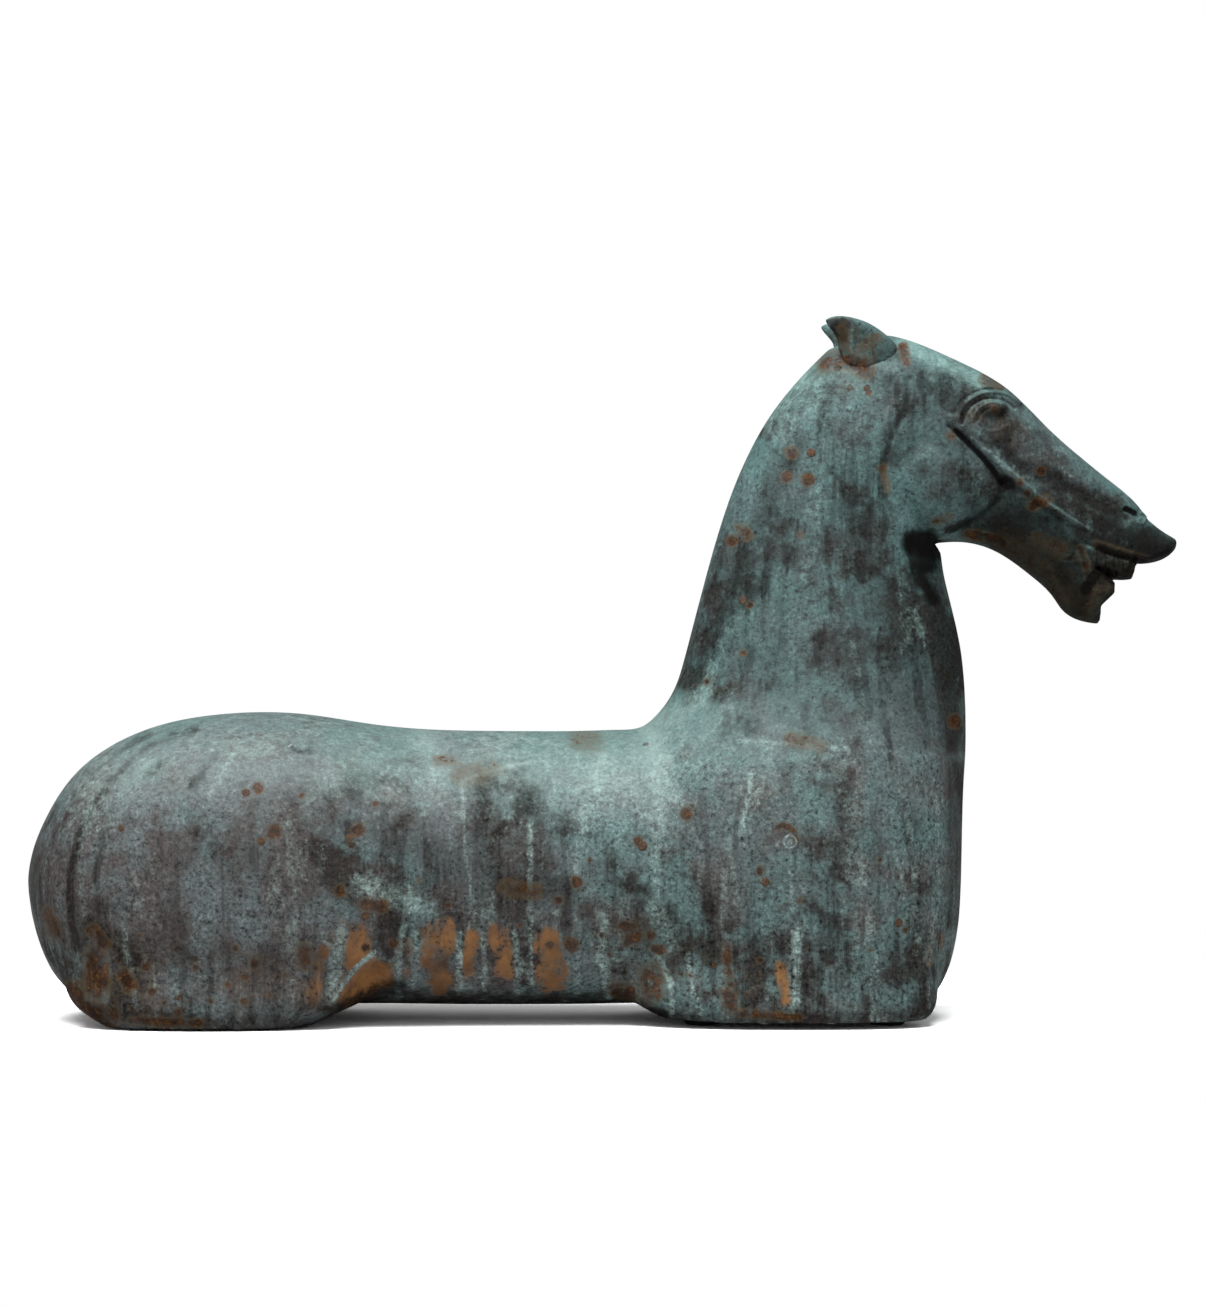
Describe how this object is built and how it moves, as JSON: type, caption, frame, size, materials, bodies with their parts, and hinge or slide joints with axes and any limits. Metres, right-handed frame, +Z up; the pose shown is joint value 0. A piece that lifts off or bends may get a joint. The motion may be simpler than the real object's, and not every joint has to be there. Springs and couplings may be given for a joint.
{
  "type": "cast iron horse statue",
  "caption": "Free-standing hollow cast iron horse resting on short leg stubs, with a raised neck and an open mouth, bolted together inside; garden or interior ornament.",
  "frame": {"origin": "on the floor, under the middle of the whole statue's bounding box", "axes": "+X towards the muzzle, +Y towards the horse's left side, +Z up; symmetric about Y = 0"},
  "size_m": [1.0994, 0.2974, 0.6709],
  "materials": {
    "patinated_iron": "old grey-green patina with rust spots, pale runs and bare brown patches",
    "rusted_iron": "flush chaplet heads, orange rust",
    "plug_iron": "flush core plugs, worn",
    "fastener_steel": "plain zinc plated fasteners, dulled",
    "cover_steel": "matt black painted steel plate",
    "pad_rubber": "matt black rubber"
  },
  "bodies": {
    "root": {"haunch_casting": "patinated_iron", "forebody_casting": "patinated_iron", "neck_casting": "patinated_iron", "head_casting": "patinated_iron", "left_ear": "patinated_iron", "right_ear": "patinated_iron", "haunch_chaplets": "rusted_iron", "forebody_chaplets": "rusted_iron", "neck_chaplets": "rusted_iron", "croup_plugs": "plug_iron", "shoulder_plugs": "plug_iron", "ear_studs": "fastener_steel", "ear_nuts": "fastener_steel", "barrel_joint_bolts": "fastener_steel", "barrel_joint_washers": "fastener_steel", "barrel_joint_nuts": "fastener_steel", "barrel_joint_dowels": "fastener_steel", "neck_joint_bolts": "fastener_steel", "neck_joint_washers": "fastener_steel", "neck_joint_nuts": "fastener_steel", "head_joint_bolts": "fastener_steel", "head_joint_washers": "fastener_steel", "head_joint_nuts": "fastener_steel", "left_hind_cover": "cover_steel", "right_hind_cover": "cover_steel", "left_fore_cover": "cover_steel", "right_fore_cover": "cover_steel", "hind_cover_screws": "fastener_steel", "fore_cover_screws": "fastener_steel", "hind_pads": "pad_rubber", "fore_pads": "pad_rubber", "pad_screws": "fastener_steel"}
  },
  "joints": []
}
